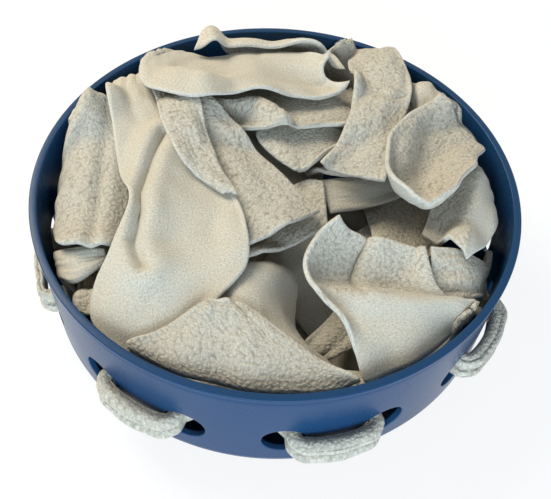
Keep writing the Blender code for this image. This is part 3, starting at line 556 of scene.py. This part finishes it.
# Turned-up edges, laid first: which edge, where it starts and ends along the flap, how high the
# edge stands and how wide the turn is, in millimetres
lips = {
    "2_upper": [("left", .15, 1, 9, 9)],
    "5_upper": [("left", .25, 1, 7, 9), ("right", .25, 1, 7, 9), ("tip", 0, 1, 7, 9)],
    "8_lower": [("tip", 0, 1, 5, 8)],
    "9_upper": [("tip", 0, 1, 6, 6)],
    "10_upper": [("left", .45, .72, 4, 4)],
    "7_lower": [("left", .5, 1, 3, 6)],
}


def keyRow(left, middle, right, thickness, roundness):
    # One row of a sheet: three points, then its thickness and how round it is, from 0 to 1
    return np.concatenate([left, middle, right, [thickness, roundness]])


def polar(radius, angle, height):
    return np.array([radius * math.cos(angle), radius * math.sin(angle), height])


def lobeRow(radius, angle, height, widthDirection, halfWidth, halfHeight):
    # A gathered row: its centre, and a half width to either side of it
    centre = polar(radius, angle, height)
    side = np.array([math.cos(widthDirection), math.sin(widthDirection), 0]) * halfWidth
    return keyRow(centre - side, centre, centre + side, 2 * halfHeight, 1)


def rootRows(k, layer):
    # Gathered in the hole, then up the inside of the wall
    toward = 1 if k % 2 == 0 else -1
    holeAngle = angleOf(k)
    angle = holeAngle + toward * lobeOffset / wallMiddle
    side = angle + math.pi / 2
    height = bowl["holeHeight"] + (1 if layer == "upper" else -1) * lobeRise
    rows = [lobeRow(wallMiddle - bowl["wall"], angle, height, side, lobeHalfWidth, lobeHalfHeight)]
    reach = outerBase - bowl["wall"] - strip["wallClearance"]
    kind = "floor" if "%d_%s" % (k, layer) in floorTails else layer
    for inwards, up, widthShare, thicknessShare, roundness in riserShares[kind]:
        radius = reach - inwards * strip["riserThickness"]
        halfWidth = widthShare * strip["riserWidth"] / 2
        centre = polar(radius, holeAngle, height + up * 2 * lobeHalfHeight)
        along = polar(halfWidth, side, 0)
        back = polar(halfWidth ** 2 / radius / 2, holeAngle, 0)
        rows.append(keyRow(centre - along - back, centre, centre + along - back,
                           thicknessShare * strip["riserThickness"], roundness))
    return rows


def floorRows(k):
    # Rows that curl in over the floor, each at its share of the radius and a little further round
    angle = angleOf(k)
    swirl = floorShares["swirl"][floorTails.index("%d_lower" % k)]
    rows = []
    for i, reach in enumerate(floorShares["reach"]):
        turn = angle + swirl * (i + 1)
        centre = polar(reach * innerRadius, turn, floorShares["height"][i] * bowlHeight)
        side = polar(floorShares["halfWidth"][i] * innerRadius, turn + math.pi / 2, 0)
        middle = centre + np.array([0, 0, floorShares["rise"] * bowlHeight])
        rows.append(keyRow(centre - side, middle, centre + side, strip["thickness"], 0))
    return rows


def heapRows(shares):
    # Rows of a flap, turned so that the left edge comes first facing its end
    shares = np.array([row + (0,) * (8 - len(row)) for row in shares])
    middles = (shares[:, :2] + shares[:, 3:5]) / 2
    rows = []
    for i, row in enumerate(shares):
        forward = middles[min(i + 1, len(shares) - 1)] - middles[max(i - 1, 0)]
        forward = forward / np.linalg.norm(forward)
        first, second = [row[j:j + 3] * [planSquare, planSquare, bowlHeight] for j in (0, 3)]
        middle = (first + second) / 2
        middle[:2] -= forward * row[7] * planSquare
        middle[2] += row[6] * bowlHeight
        across = second - first
        turn = forward[1] * across[0] - forward[0] * across[1]
        left, right = (first, second) if turn > 0 else (second, first)
        rows.append(keyRow(left, middle, right, strip["thickness"], 0))
    return rows


def keyPlaces(keys):
    # How far along each key row lies: the steps between the rows' middles, added up
    return np.concatenate([[0], np.cumsum(np.linalg.norm(np.diff(keys[:, 3:6], axis=0), axis=1))])


def smoothPath(keys, places):
    # Cubic curve through the key rows, each slope taken from its neighbours
    at = keyPlaces(keys)
    slopes = np.gradient(keys, at, axis=0)
    index = np.clip(np.searchsorted(at, places, side="right") - 1, 0, len(at) - 2)
    span = (at[index + 1] - at[index])[:, None]
    t = ((places - at[index])[:, None]) / span
    start, end = keys[index], keys[index + 1]
    return ((2 * t ** 3 - 3 * t ** 2 + 1) * start + (t ** 3 - 2 * t ** 2 + t) * span * slopes[index]
            + (3 * t ** 2 - 2 * t ** 3) * end + (t ** 3 - t ** 2) * span * slopes[index + 1])


def halfCircle(columns):
    # Place across the sheet from -1 to 1, closer together at the edges, and a lobe's thickness there
    angles = np.linspace(-math.pi / 2, math.pi / 2, columns)
    return np.sin(angles)[None, :], np.maximum(np.cos(angles), 0)[None, :] ** .8


def spread(rows, columns):
    # Each row is a parabola through its three points
    v = halfCircle(columns)[0][:, :, None]
    left, middle, right = rows[:, None, 0:3], rows[:, None, 3:6], rows[:, None, 6:9]
    return middle + v * (right - left) / 2 + v ** 2 * ((left + right) / 2 - middle)


def fromLeft(grid):
    # Distance of each point from the left edge, along its row
    steps = np.linalg.norm(np.diff(grid, axis=1), axis=2)
    return np.concatenate([np.zeros((len(grid), 1)), np.cumsum(steps, axis=1)], axis=1)


def facing(grid):
    # Unit normals, from the step across and the step along, where the shorter step counts more
    steps = np.diff(grid, axis=0)
    steps = steps / np.maximum((steps ** 2).sum(axis=2, keepdims=True), 1e-12)
    along = np.concatenate([steps[:1], steps[1:] + steps[:-1], steps[-1:]])
    across = np.gradient(grid, axis=1)
    normal = np.cross(across, along)
    return normal / np.maximum(np.linalg.norm(normal, axis=2, keepdims=True), 1e-12)


def fromLine(grid, path):
    # Plan distance from a line over the flap, and 1 where the point lies to its right
    flat = grid[:, :, :2]
    points = np.array(path) * planSquare
    nearest = np.full(flat.shape[:2], 9.0)
    onRight = np.zeros(flat.shape[:2])
    for start, end in zip(points[:-1], points[1:]):
        run = end - start
        share = np.clip(((flat - start) @ run) / (run @ run), 0, 1)
        off = flat - start - share[:, :, None] * run
        distance = np.linalg.norm(off, axis=2)
        side = run[0] * off[:, :, 1] - run[1] * off[:, :, 0]
        closer = distance < nearest
        nearest = np.where(closer, distance, nearest)
        onRight = np.where(closer, side < 0, onRight)
    return nearest, onRight


def foldHeight(grid, path, height, fadeLeft, fadeRight):
    # A bell curve of the plan distance from the line. A groove is one taken from a wider one.
    nearest, onRight = fromLine(grid, path)
    fade = np.where(onRight > 0, fadeRight, fadeLeft) / 1000
    bell = np.exp(-(nearest / fade) ** 2)
    if height < 0:
        bell -= np.exp(-(nearest / fade / 3) ** 2)
    return height / 1000 * bell


def petalHeight(share, creases, depth, tilt):
    # Each crease is a sharp valley, and each petal falls steadily from its left side to its right
    nearest = np.min([np.abs(share - crease) for crease in creases], axis=0)
    height = -depth * np.exp(-nearest / strip["creaseWidth"])
    bounds = [0] + creases + [1.001]
    for start, end in zip(bounds[:-1], bounds[1:]):
        height = height + ((share >= start) & (share < end)) * tilt * (end - share) / (end - start)
    return height / 1000


def lipHeight(grid, side, start, end, height, width, firstRow):
    # The edge stands up by a parabola of the distance from it
    work = grid
    if side == "tip":
        work = grid.transpose(1, 0, 2)
    elif side == "left":
        work = grid[:, ::-1]
    length = fromLeft(work)
    inset = length[:, -1:] - length
    lift = height / 1000 * np.maximum(1 - inset / (width / 1000), 0) ** 2
    if side == "tip":
        return lift.T
    place = np.clip((np.arange(len(work)) - firstRow) / (len(work) - firstRow), 0, 1)
    weight = np.clip((place - start) / .15, 0, 1) * np.clip((end - place) / .1 + (end == 1), 0, 1)
    lift *= (weight * weight * (3 - 2 * weight))[:, None]
    return lift[:, ::-1] if side == "left" else lift


class Heap:
    # Height of what lies in the bowl so far, on a square grid of cells
    def __init__(self):
        self.cell = strip["heapCell"]
        self.count = 2 * math.ceil(bowl["rimRadius"] / self.cell) + 3
        self.top = np.full((self.count, self.count), bowl["floorThickness"])

    def cells(self, points):
        # The cell under each point, with the bowl's axis at the middle of the grid
        index = np.floor(points[..., :2] / self.cell).astype(int) + self.count // 2
        return np.clip(index, 0, self.count - 1)

    def lay(self, grid, half, fixedRows):
        # Raise the free rows until both sides clear the heap, evening the rise out each time
        reach = widened(self.top, 1)
        fade = np.clip((np.arange(len(grid)) - fixedRows) / strip["riseRows"], 0, 1)[:, None]
        most = grid[:, :, 2] + .001 + fade * strip["mostRise"]
        for _ in range(strip["layPasses"]):
            normal = facing(grid)
            short = np.zeros(grid.shape[:2])
            for side in (grid + normal * half, grid - normal * half):
                index = self.cells(side)
                short = np.maximum(short, reach[index[..., 0], index[..., 1]] + strip["layGap"]
                                   - side[..., 2])
            short[:fixedRows + 2] = 0
            if short.max() < strip["shortfall"]:
                break
            rise = evened(widened(np.maximum(short, 0), 2), 7) * fade
            grid[:, :, 2] = np.minimum(grid[:, :, 2] + rise, np.maximum(most, grid[:, :, 2]))
        return grid

    def settle(self, grid, half):
        # Each cell keeps the highest point of the sheet over it
        normal = facing(grid)
        for side in (grid + normal * half, grid - normal * half):
            for points in (side, (side[1:, 1:] + side[:-1, :-1]) / 2):
                index = self.cells(points).reshape(-1, 2)
                np.maximum.at(self.top, (index[:, 0], index[:, 1]), points[..., 2].ravel())


def edgeRounding(grid, roundness):
    # Share of the thickness left near the cut edges, as a half circle, and the ellipse of a lobe
    length = fromLeft(grid)
    inset = np.minimum(length, length[:, -1:] - length)
    edge = strip["thickness"] / 2
    flat = np.sqrt(np.maximum(1 - np.maximum(1 - inset / edge, 0) ** 2, 0))
    lobe = halfCircle(grid.shape[1])[1]
    # The painted highlight along the cut edges, fading inward; round lobes get none
    cut = np.exp(-(inset / strip["paintedEdgeLight"]) ** 2) * (1 - roundness)
    return flat * (1 - roundness) + lobe * roundness, cut


def makeTail(name, heap):
    # One end of a strip, from its hole to its cut edge, laid on the heap
    k, layer = int(name.split("_")[0]), name.split("_")[1]
    roots = rootRows(k, layer)
    keys = np.array(roots + (floorRows(k) if name in floorTails else heapRows(tailShares[name])))
    at = keyPlaces(keys)
    first, length = len(roots), at[-1]
    edge = strip["thickness"] / 2
    stops = [0, length - edge]
    if name in hinged:
        bend, gap = at[first + hinged[name][1]], strip["hingeGap"] / 2
        stops = [0, bend - gap, bend + gap, length - edge]
    places = [0]
    for start, end in zip(stops[:-1], stops[1:]):
        count = max(1, round((end - start) / strip["rowStep"]))
        places += list(np.linspace(start, end, count + 1)[1:])
    split = int(np.argmin(np.abs(np.array(places) - stops[2]))) if name in hinged else None
    places = np.array(places + [length - edge * share for share in (.65, .35, .12, 0)])
    rows = smoothPath(keys, places)
    rows[:, 9] = np.maximum(rows[:, 9], strip["thickness"])
    rows[:, 10] = np.clip(rows[:, 10], 0, 1)
    columns = strip["hiddenColumns"] if name in floorTails else strip["columns"]
    grid = spread(rows, columns)
    v = halfCircle(columns)[0]
    free = np.clip((places - at[first - 1]) / strip["gatherReach"], 0, 1)[:, None]
    fixedRows = int(np.searchsorted(places, at[first - 1]))
    firstFlapRow = int(np.searchsorted(places, at[first]))
    progress = (places - at[first]) / (length - at[first])
    if name in waveShares:
        waves, height, start = waveShares[name]
        grow = np.clip(progress, 0, 1)[:, None]
        grid[:, :, 2] += height * bowlHeight * grow * np.sin(2 * math.pi * (waves * (v + 1) / 2 + start))
    if name in petals:
        creases, depth, tilt, start = petals[name]
        grow = np.clip((progress - start) / (1 - start), 0, 1)[:, None]
        grid[:, :, 2] += petalHeight((v + 1) / 2, creases, depth, tilt) * grow ** .6
    lifts = [lipHeight(grid, side, start, end, height, width, firstFlapRow)
             for side, start, end, height, width in lips.get(name, [])]
    if lifts:
        grid[:, :, 2] += np.max(lifts, axis=0)
    seed = k * 2 + (layer == "upper")
    across = v * strip["waveWidth"]
    flat = np.stack(np.broadcast_arrays(across, places[:, None], seed), -1)
    crumple = softWaves(flat, strip["crumpleSize"], seed) * strip["crumple"]
    crumple += softWaves(flat, strip["rippleSize"], seed + 40) * strip["ripple"]
    gather = np.exp(-np.maximum(places - at[first - 1], 0) / strip["gatherReach"])[:, None] * free
    gather *= strip["shortGather"] if name in shortEnds else 1
    crumple = crumple * free + np.sin(v * strip["gathers"] + seed) * gather * strip["gatherDepth"]
    grid += facing(grid) * crumple[:, :, None]
    thickness = rows[:, None, 9] * np.ones((1, columns))
    reach = innerRadius - strip["wallClearance"] - thickness / 2
    radius = np.linalg.norm(grid[:, :, :2], axis=2)
    pull = np.minimum(1, reach / np.maximum(radius, .001))
    pull[:fixedRows] = 1
    grid[:, :, :2] *= pull[:, :, None]
    half = thickness[:, :, None] / 2
    grid = heap.lay(grid, half, fixedRows)
    for path, height, fadeLeft, fadeRight in folds.get(name, []):
        grid[:, :, 2] += foldHeight(grid, path, height, fadeLeft, fadeRight) * free
    heap.settle(grid, half)
    rounding, cut = edgeRounding(grid, rows[:, None, 10])
    inset = (length - places)[:, None]
    rounding *= np.sqrt(np.maximum(1 - np.maximum(1 - inset / edge, 0) ** 2, 0))
    # The painted highlight also runs along the tip's cut edge
    cut = np.maximum(cut, np.exp(-(inset / strip["paintedEdgeLight"]) ** 2))
    nubby = np.full(grid.shape[:2], 1.0 if name in nubbyUp else 0.0)
    if name in turnsOver:
        nubby += np.clip((progress - turnsOver[name]) / strip["turnLength"], 0, 1)[:, None]
    if name in smoothLeft:
        nubby *= fromLine(grid, smoothLeft[name])[1]
    return {"grid": grid, "thickness": thickness * rounding, "round": rows[:, 10], "cut": cut,
            "nubby": nubby, "along": places, "split": split}


def makeLoop(pair, layer, columns):
    # The loop outside the wall between a pair of holes
    sign = 1 if layer == "upper" else -1
    middle = angleOf(2 * pair + .5)
    halfAngle = holePitch / 2 - lobeOffset / wallMiddle
    shares, depth = loopShares, strip["loopDepth"]
    if pair in strip["tautPairs"]:
        shares, depth = tautShares, depth * strip["tautShare"]
    outRadius = outerTop + strip["loopStandoff"] + depth / 2
    keys = []
    for side in (-1, 1):
        for reach, turn, radial in (shares if side < 0 else shares[::-1]):
            radius = wallMiddle + (outRadius - wallMiddle) * reach
            angle = middle + side * halfAngle * (1 - turn)
            heading = angle + math.pi / 2 + side * math.pi / 2 * radial
            halfWidth = lobeHalfWidth + (depth / 2 - lobeHalfWidth) * reach
            height = bowl["holeHeight"] + sign * lobeRise
            keys.append(lobeRow(radius, angle, height, heading - math.pi / 2, halfWidth, lobeHalfHeight))
    keys = np.array(keys)
    at = keyPlaces(keys)
    places = np.linspace(0, at[-1], max(2, round(at[-1] / strip["loopStep"])))
    rows = smoothPath(keys, places)
    grid = spread(rows, columns)
    return {"grid": grid, "thickness": rows[:, None, 9] * halfCircle(columns)[1], "round": np.ones(len(rows)),
            "cut": np.zeros(grid.shape[:2]), "nubby": np.ones(grid.shape[:2]), "along": places}


def sheetPiece(node, sheet, material):
    # Both sides of a sheet, joined along its edges, with pleats where it is gathered
    grid, thickness = sheet["grid"], sheet["thickness"][:, :, None]
    normal = facing(grid)
    rows, columns = grid.shape[:2]
    w = np.linspace(0, 1, columns)[None, :]
    turn = sheet["along"][:, None]
    seed = sheet["seed"]
    gathered = np.clip(sheet["round"], 0, 1)[:, None] ** 1.5
    sides = []
    for sign in (1, -1):
        lean = .06 * np.sin(turn * 60 + seed) + .03 * np.sin(turn * 140 + 2 * seed)
        wave = np.abs(np.sin(math.pi * (strip["pleats"] * (w + lean * (1 - 4 * (w - .5) ** 2))
                                        + .37 * sign + .21 * seed)))
        grooves = 1 - gathered * strip["pleatDepth"] * (1 - wave ** .55)
        sides.append(grid + sign * normal * (thickness / 2) * grooves[:, :, None])
    points = np.concatenate(sides).reshape(-1, 3)
    top = gridFaces(rows, columns)
    index = np.arange(rows * columns).reshape(rows, columns)
    under = index + rows * columns
    rims = [np.stack([a[:-1], a[1:], b[1:], b[:-1]], -1) for a, b in (
        (index[:, 0], under[:, 0]), (under[:, -1], index[:, -1]), (under[0], index[0]),
        (index[-1], under[-1]))]
    faces = np.concatenate([top, top[:, ::-1] + rows * columns] + rims)
    name = node.title().replace("_", "")
    piece = newPiece(name[0].lower() + name[1:], points, faces, material)
    across = fromLeft(grid)
    across -= across[:, -1:] / 2
    flat = np.stack(np.broadcast_arrays(across, turn), -1).reshape(-1, 2)
    flat = np.concatenate([flat, flat + [strip["sideStep"], 0]]) + [seed * strip["sheetStep"], 0]
    loops = np.zeros(len(piece.data.loops), dtype=np.int32)
    piece.data.loops.foreach_get("vertex_index", loops)
    layer = piece.data.uv_layers.new(name="flat")
    layer.data.foreach_set("uv", flat[loops].astype(np.float32).ravel())
    under = np.maximum(1 - sheet["nubby"], gathered)
    nubby = np.concatenate([sheet["nubby"].ravel(), under.ravel()])
    # The share of painted highlight along the cut edges goes to the material as an attribute, on both sides
    cut = np.concatenate([sheet["cut"].ravel()] * 2)
    for label, values in (("nubby", nubby), ("paintedEdgeLight", cut)):
        attribute = piece.data.attributes.new(label, "FLOAT", "POINT")
        attribute.data.foreach_set("value", values.astype(np.float32))
    weld(piece, strip["weld"])
    return piece


def part(sheet, start, end):
    # The sheet's rows from start to end
    return {key: value[start:end] if isinstance(value, np.ndarray) else value for key, value in sheet.items()}


def flatSize(sheet):
    # Width and length of the cut: the flaps' mean width, over their waves
    widths = np.linalg.norm(np.diff(sheet["grid"], axis=1), axis=2).sum(axis=1)
    length = sheet["along"][-1] - sheet["along"][0]
    return float(widths[sheet["round"] < .01].mean()), float(length)


def hingePoint(edge, tip):
    # A flap bends about the point of its root edge that lies furthest from its tip
    away = (edge.mean(axis=0) - tip.mean(axis=0))[:2]
    chord = (edge[-1] - edge[0])[:2]
    square = away - chord * (away @ chord) / (chord @ chord)
    inward = np.array([*(-square / np.linalg.norm(square)), 0])
    return edge[np.argmax(edge[:, :2] @ square)], inward


def declare(piece, node, sheet):
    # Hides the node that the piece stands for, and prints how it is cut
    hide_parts(node)
    width, length = flatSize(sheet)
    area = sum(p.area for p in piece.data.polygons) / 2
    print("%s: area %.4f, flat %.3f x %.3f, share %.2f" % (piece.name, area, width, length,
                                                           area / width / length))


sheetFields = ("grid", "thickness", "cut", "nubby")


def makeFleece(material):
    heap = Heap()
    tails = {name: makeTail(name, heap) for name in layOrder}
    print("laid", len(tails), "fleece ends")
    for pair in range(bowl["holes"] // 2):
        for layer in ("lower", "upper"):
            names = [str(k) + "_" + layer for k in (2 * pair, 2 * pair + 1)]
            first, second = tails[names[0]], tails[names[1]]
            columns = min(first["grid"].shape[1], second["grid"].shape[1])
            first, second = thinned(first, columns), thinned(second, columns)
            loop = makeLoop(pair, layer, columns)
            joined = {"seed": pair * 2 + (layer == "upper")}
            for key in sheetFields:
                joined[key] = np.concatenate([first[key][::-1, ::-1], loop[key], second[key]])
            joined["round"] = np.concatenate([first["round"][::-1], loop["round"], second["round"]])
            lengths = first["along"][-1], loop["along"][-1]
            joined["along"] = np.concatenate([lengths[0] - first["along"][::-1], lengths[0] + loop["along"],
                                              lengths[0] + lengths[1] + second["along"]])
            start, end = 0, len(joined["grid"])
            if first["split"]:
                start = len(first["grid"]) - first["split"]
                makeFlap(names[0], part(joined, 0, start), -1, material)
            if second["split"]:
                end = len(joined["grid"]) - len(second["grid"]) + second["split"]
                makeFlap(names[1], part(joined, end, None), 0, material)
            node = "fleece_strip_%02d_%s" % (pair + 1, layer)
            sheet = part(joined, start, end)
            piece = sheetPiece(node, sheet, material)
            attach(piece, "laced_bowl")
            declare(piece, node, sheet)


def makeFlap(tailName, sheet, rootRow, material):
    # A lifting end, as a piece of its own. The hinge point at its root is found, but nothing bends it.
    node = hinged[tailName][0]
    edge, tip = sheet["grid"][rootRow], sheet["grid"][0 if rootRow else -1]
    piece = sheetPiece(node, sheet, material)
    hinge, inward = hingePoint(edge, tip)
    bent = hinge + inward * strip["bendLength"]
    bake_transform(piece)
    declare(piece, node, sheet)


def thinned(sheet, columns):
    # The same tail with fewer columns
    take = np.linspace(0, sheet["grid"].shape[1] - 1, columns).round().astype(int)
    return {**sheet, **{key: sheet[key][:, take] for key in sheetFields}}


# Light, floor and camera

studio = {
    "skyColour": (.8, .9, 1, 1), "skyStrength": .42, "keyPower": 39,
    "keyPlace": (-1, .75, 1.35), "keySize": .9, "keyColour": (1, .91, .75),
    "fillPower": 30, "fillPlace": (.1, -1.4, .42), "fillSize": 1,
    "fillColour": (.66, .83, 1), "floorColour": (.86, .86, .86, 1), "floorWhite": .85,
    "floorReach": 1.3, "floorSink": .0002, "lampsAim": (0, 0, .06),
}


def addLamp(name, place, size, power, colour):
    lamp = bpy.data.lights.new(name, "AREA")
    lamp.size = size
    lamp.energy = power
    lamp.color = colour
    turn = (Vector(studio["lampsAim"]) - Vector(place)).to_track_quat("-Z", "Y")
    newObject(name, lamp).matrix_world = Matrix.Translation(place) @ turn.to_matrix().to_4x4()


def seenDirectly(board):
    # 1 for rays from the camera, mirrors and glass, 0 for the light on the object
    path = board.tree.nodes.new("ShaderNodeLightPath")
    rays = [Sock(board, path.outputs["Is %s Ray" % kind]) for kind in ("Camera", "Glossy", "Transmission")]
    return rays[0].maths("MAXIMUM", rays[1]).maths("MAXIMUM", rays[2])


def makeStudio():
    world = bpy.data.worlds.new("studio")
    bpy.context.scene.world = world
    board = Board(world)
    white = board.add("ShaderNodeBackground", {}, [(1, 1, 1, 1), 1])
    sky = board.tree.nodes["Background"]
    board.feed(sky.inputs["Color"], studio["skyColour"])
    board.feed(sky.inputs["Strength"], studio["skyStrength"])
    both = board.add("ShaderNodeMixShader", {}, [seenDirectly(board), sky.outputs[0], white])
    board.feed(board.tree.nodes["World Output"].inputs[0], both)
    for kind in ("key", "fill"):
        addLamp(kind + "Lamp", *[studio[kind + word] for word in ("Place", "Size", "Power", "Colour")])

    # Far from the object the floor turns into the background's white
    board = Board(bpy.data.materials.new("paleFloor"))
    board.set({"Base Color": studio["floorColour"], "Roughness": .9})
    distance = board.add("ShaderNodeVectorMath", {"operation": "LENGTH"}, [board.objectPlace()], 1)
    share = board.add("ShaderNodeMapRange", {}, [distance, studio["floorReach"] / 3,
                                                 studio["floorReach"] * .9, studio["floorWhite"], 1])
    glow = board.add("ShaderNodeEmission")
    both = board.add("ShaderNodeMixShader", {}, [share * seenDirectly(board), board.shader.outputs[0], glow])
    board.feed(board.tree.nodes["Material Output"].inputs[0], both)
    reach = studio["floorReach"]
    points = np.array([(-reach, -reach, 0), (reach, -reach, 0), (reach, reach, 0), (-reach, reach, 0)])
    points -= [0, 0, studio["floorSink"]]
    floor = newPiece("floor", points, np.array([[0, 1, 2, 3]]), board.material)


viewpoint = {"elevation": 52.65, "roll": 4.12, "distance": .5544, "aim": (.00171, .01378, 0), "lens": 52.27}


def makeCamera():
    # Looks down at the aim point from the front, turned a little about its own axis
    camera = bpy.data.cameras.new("camera")
    camera.lens = viewpoint["lens"]
    camera.sensor_width = 36
    holder = newObject("camera", camera)
    rise, roll = math.radians(viewpoint["elevation"]), math.radians(viewpoint["roll"])
    turn = Matrix.Rotation(math.pi / 2 - rise, 4, "X") @ Matrix.Rotation(roll, 4, "Z")
    back = np.array([0, -math.cos(rise), math.sin(rise)])
    holder.matrix_world = Matrix.Translation(np.array(viewpoint["aim"]) + back * viewpoint["distance"]) @ turn
    bpy.context.scene.camera = holder


makeCamera()
makeStudio()
makeBowl(plasticMaterial())
print("bowl made")
makeFleece(fleeceMaterial())
bpy.context.scene.view_settings.view_transform = "Standard"
